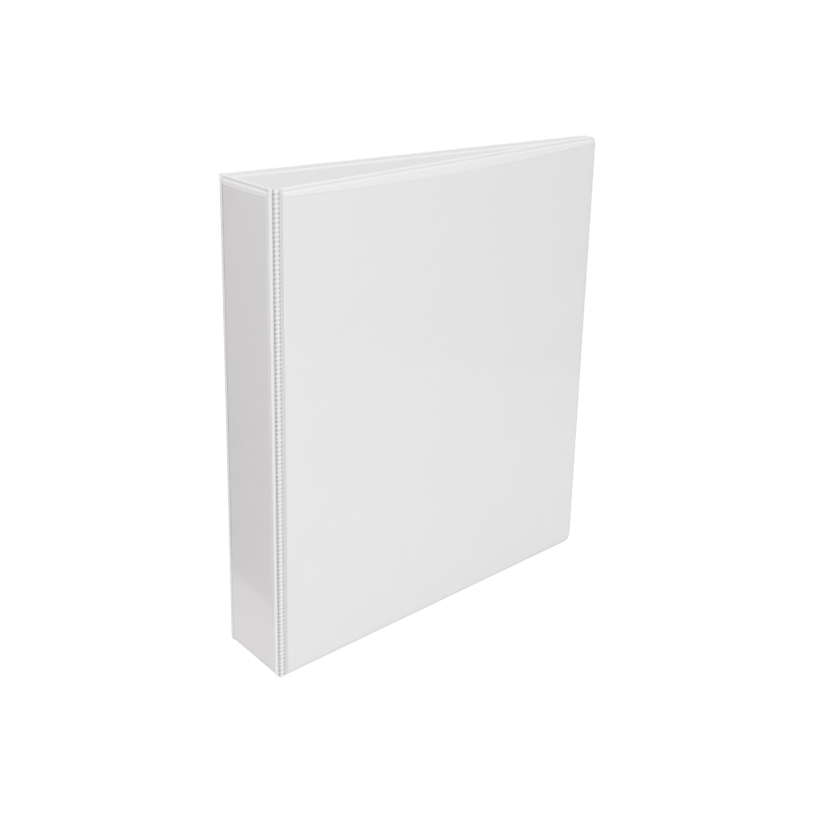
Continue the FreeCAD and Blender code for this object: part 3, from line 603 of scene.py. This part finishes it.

# ---------------------------------------------------------------- hinge strips

# Section of the strip's outside, in millimetres, as (panel, distance from the hinge axis, height between teeth,
# height on a tooth, painted shade share between teeth, painted shade share on a tooth). The spine's plain ridge
# comes first, then the ladder of teeth with its raised middle, then a rim with painted shade, partly the
# vinyl's own grey.
STRIP_OUTSIDE = (
    ("spine", 3.50, 0.42, 0.42, 0.7, 0.7), ("spine", 3.45, 1.20, 1.20, 0.6, 0.6),
    ("spine", 3.30, 1.60, 1.60, 0.35, 0.35), ("spine", 2.90, 1.82, 1.82, 0.12, 0.12),
    ("spine", 2.40, 1.86, 1.86, 0.1, 0.1), ("spine", 2.00, 1.66, 1.66, 0.1, 0.1),
    ("spine", 1.70, 1.20, 1.20, 0.1, 0.1), ("spine", 1.45, 0.62, 0.62, 0.4, 0.4),
    ("spine", 1.20, 0.44, 0.44, 0.9, 0.9), ("spine", 0.60, 0.44, 0.46, 1.0, 0.9),
    ("spine", -0.15, 0.48, 0.80, 1.0, 0.75), ("cover", -0.45, 0.46, 0.90, 1.0, 0.7),
    ("cover", -0.15, 0.50, 1.04, 1.0, 0.5), ("cover", 0.15, 0.56, 1.20, 0.85, 0.0),
    ("cover", 0.40, 0.80, 1.30, 0.45, 0.0), ("cover", 0.80, 0.98, 1.38, 0.3, 0.0),
    ("cover", 1.20, 0.98, 1.38, 0.3, 0.0), ("cover", 1.60, 0.80, 1.30, 0.45, 0.0),
    ("cover", 1.85, 0.54, 1.16, 0.9, 0.3), ("cover", 2.15, 0.46, 0.96, 1.0, 0.7),
    ("cover", 2.55, 0.46, 0.84, 1.0, 0.8), ("cover", 2.95, 0.46, 0.76, 1.0, 0.8),
    ("cover", 3.15, 0.45, 0.62, 1.0, 0.85), ("cover", 3.30, 0.44, 0.48, 0.9, 0.85),
    ("cover", 3.50, 0.46, 0.50, 0.8, 0.75), ("cover", 3.65, 0.52, 0.62, 0.75, 0.65),
    ("cover", 3.80, 0.52, 0.62, 0.75, 0.65), ("cover", 3.95, 0.48, 0.52, 0.8, 0.75),
    ("cover", 4.06, 0.42, 0.42, 0.75, 0.75),
)
# Section of its inside, going back to the spine, as (panel, distance from the hinge axis, height).
STRIP_INSIDE = (
    ("cover", 1.62, 0.42), ("cover", 1.60, 0.0), ("cover", 1.60, -0.40), ("cover", 1.30, -0.62),
    ("cover", 0.95, -0.70), ("cover", 0.66, -0.72), ("spine", 0.95, -0.70), ("spine", 1.30, -0.62),
    ("spine", 1.60, -0.40), ("spine", 1.60, 0.0), ("spine", 1.62, 0.42),
)
# One tooth, as (share of its pitch, share of its height).
TOOTH = ((0.0, 0.0), (0.19, 0.0), (0.25, 0.55), (0.33, 1.0), (0.67, 1.0), (0.75, 0.55), (0.81, 0.0))
END_ROUNDING = 2.4 * MM
END_HEIGHT = 0.45                         # share of the strip's height left at its very ends


def make_strip(side):
    """Embossed vinyl strip that wraps the fold between the spine and a cover."""
    cover = PANELS[side]
    mirror = 1 if side == "front" else -1
    axis = cover.origin
    directions = {
        "spine": (np.array((0.0, mirror, 0.0)), np.array((-1.0, 0.0, 0.0))),
        "cover": (cover.along, cover.out),
    }
    pitch = HEIGHT / TOOTH_COUNT
    levels = [((k + share) * pitch, lift) for k in range(TOOTH_COUNT) for share, lift in TOOTH]
    levels.append((HEIGHT, 0.0))
    points, painted_shade = [], []
    for z, lift in levels:
        ends = min(z, HEIGHT - z) / END_ROUNDING
        full = 1.0 if ends >= 1 else END_HEIGHT + (1 - END_HEIGHT) * math.sqrt(1 - (1 - ends) ** 2)
        for panel_name, distance, low, high, between, on_tooth in STRIP_OUTSIDE:
            along, out = directions[panel_name]
            height = (low + (high - low) * lift) * full
            # Painted shade between the teeth and at the rims, partly the vinyl's own grey.
            painted_shade.append(between + (on_tooth - between) * lift)
            points.append(axis + along * distance * MM + out * height * MM + (0, 0, z))
        for panel_name, distance, height in STRIP_INSIDE:
            along, out = directions[panel_name]
            painted_shade.append(0.0)
            points.append(axis + along * distance * MM + out * height * MM + (0, 0, z))
    count = len(STRIP_OUTSIDE) + len(STRIP_INSIDE)
    faces = []
    for row in range(len(levels) - 1):
        for k in range(count):
            a, b = row * count + k, row * count + (k + 1) % count
            faces.append((a, b, b + count, a + count))
    faces.append(tuple(range(count)))
    faces.append(tuple(range((len(levels) - 1) * count, len(levels) * count)))
    strip = make_object(f"{side}_hinge_strip", points, faces, WHITE_VINYL, 60, painted_shade)
    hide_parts(f"{side}_hinge_weld")
    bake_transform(strip)


for cover_side in ("front", "back"):
    make_strip(cover_side)

# ---------------------------------------------------------------- finishes of the CAD pieces that stay

SHARP_METAL = math.radians(32)
FINISH = {"chipboard": CHIPBOARD, "nickel_plated_wire": NICKEL, "zinc_plated_steel": ZINC}
for subpart in frame["record"]["subparts"]:
    node = frame["nodes"][subpart["node"]]
    if subpart["material_slot"] in FINISH:
        node.data.materials.clear()
        node.data.materials.append(FINISH[subpart["material_slot"]])
        node.data.shade_smooth()
        node.data.set_sharp_from_angle(angle=SHARP_METAL)

# ---------------------------------------------------------------- floor, light and camera

WORLD_WHITE = 22.0                       # what the camera sees beyond the binder
FLOOR_NEAR_SPINE = 0.046                 # floor's pale sheet beyond the spine
FLOOR_GLOW = 0.15                         # light of the pale floor itself, as the binder and its film get it
AMBIENT = (0.845, 0.82, 0.815)


def make_floor():
    """Plain pale sheet that the binder stands on."""
    near_x = HINGE_X - FLOOR_NEAR_SPINE
    corners = [(near_x, -0.9), (0.125, -0.9), (0.403, -0.255), (0.63, 0.27), (0.63, 0.9), (near_x, 0.9)]
    mesh = bpy.data.meshes.new("floor")
    mesh.from_pydata([(x, y, 0.0) for x, y in corners], [], [tuple(range(len(corners)))])
    floor = bpy.data.objects.new("floor", mesh)
    bpy.context.scene.collection.objects.link(floor)
    n = Nodes("floor_paper")
    seen = n.add("LightPath").outputs["Is Camera Ray"]
    lit = n.add("BsdfDiffuse", Color=(0.48, 0.46, 0.455, 1.0))
    glow = n.add("Emission", Color=(1.0, 0.985, 0.975, 1.0), Strength=FLOOR_GLOW)
    paper = n.add("AddShader")
    n.tree.links.new(lit.outputs[0], paper.inputs[0])
    n.tree.links.new(glow.outputs[0], paper.inputs[1])
    white = n.add("Emission", Color=(1.0, 1.0, 1.0, 1.0), Strength=WORLD_WHITE)
    mixed = n.add("MixShader", Fac=seen)
    n.tree.links.new(paper.outputs[0], mixed.inputs[1])
    n.tree.links.new(white.outputs[0], mixed.inputs[2])
    mesh.materials.append(n.finish(mixed.outputs[0]))


def make_world():
    """White wherever the camera looks past the binder, and a soft grey room for everything else."""
    world = bpy.data.worlds.new("studio")
    bpy.context.scene.world = world
    world.use_nodes = True
    tree = world.node_tree
    tree.nodes.clear()
    output = tree.nodes.new("ShaderNodeOutputWorld")
    seen = tree.nodes.new("ShaderNodeLightPath").outputs["Is Camera Ray"]
    place = tree.nodes.new("ShaderNodeTexCoord").outputs["Generated"]
    split = tree.nodes.new("ShaderNodeSeparateXYZ")
    tree.links.new(place, split.inputs[0])
    upper = tree.nodes.new("ShaderNodeMapRange")
    tree.links.new(split.outputs["Z"], upper.inputs["Value"])
    for key, number in (("From Min", -0.05), ("From Max", 0.1), ("To Min", 0.22), ("To Max", 0.70)):
        upper.inputs[key].default_value = number
    room = tree.nodes.new("ShaderNodeBackground")
    room.inputs["Color"].default_value = (*AMBIENT, 1.0)
    tree.links.new(upper.outputs[0], room.inputs["Strength"])
    white = tree.nodes.new("ShaderNodeBackground")
    white.inputs["Strength"].default_value = WORLD_WHITE
    mixed = tree.nodes.new("ShaderNodeMixShader")
    tree.links.new(seen, mixed.inputs[0])
    tree.links.new(room.outputs[0], mixed.inputs[1])
    tree.links.new(white.outputs[0], mixed.inputs[2])
    tree.links.new(mixed.outputs[0], output.inputs["Surface"])


def add_softbox(name, place, aim, size, energy, colour):
    data = bpy.data.lights.new(name, "AREA")
    data.shape = "SQUARE"
    data.size = size
    data.energy = energy
    data.color = colour
    light = bpy.data.objects.new(name, data)
    light.location = place
    light.rotation_mode = "QUATERNION"
    light.rotation_quaternion = (Vector(place) - Vector(aim)).to_track_quat("Z", "Y")
    bpy.context.scene.collection.objects.link(light)


make_floor()
make_world()
# Name, place, point aimed at, side, watts, colour.
SOFTBOXES = (
    ("key_softbox", (-0.44, -0.74, 0.77), (-0.05, 0.0, 0.13), 0.6, 26.0, (1.0, 0.985, 1.0)),
    ("low_softbox", (-0.32, -0.80, 0.14), (-0.05, 0.0, 0.10), 0.4, 18.0, (1.0, 0.965, 0.965)),
    ("side_softbox", (-1.4, 0.35, 0.6), (-0.13, 0.0, 0.15), 0.9, 12.0, (1.0, 0.86, 0.75)),
    ("top_softbox", (0.1, 0.1, 1.5), (0.0, 0.0, 0.2), 1.0, 96.0, (1.0, 0.985, 0.965)),
)
for softbox in SOFTBOXES:
    add_softbox(*softbox)

CAMERA_PLACE = Vector((-0.4810, -0.5656, 0.4244))
CAMERA_AZIMUTH = math.radians(-35.36)
CAMERA_ELEVATION = math.radians(17.86)
FOCAL_PIXELS = 1256.4
PICTURE = 815.0                          # the picture's side, in the same pixels
SHIFT = 0.1                              # of the picture's side, right and down
SENSOR = 36.0

camera_data = bpy.data.cameras.new("camera")
camera_data.sensor_width = SENSOR
camera_data.lens = FOCAL_PIXELS / PICTURE * SENSOR
camera_data.shift_x = SHIFT
camera_data.shift_y = -SHIFT
camera_data.clip_start = 0.01
camera = bpy.data.objects.new("camera", camera_data)
bpy.context.scene.collection.objects.link(camera)
level = math.cos(CAMERA_ELEVATION)
backwards = Vector((math.sin(CAMERA_AZIMUTH) * level, -math.cos(CAMERA_AZIMUTH) * level,
                    math.sin(CAMERA_ELEVATION)))
camera.location = CAMERA_PLACE
camera.rotation_mode = "QUATERNION"
camera.rotation_quaternion = backwards.to_track_quat("Z", "Y")
bpy.context.scene.camera = camera
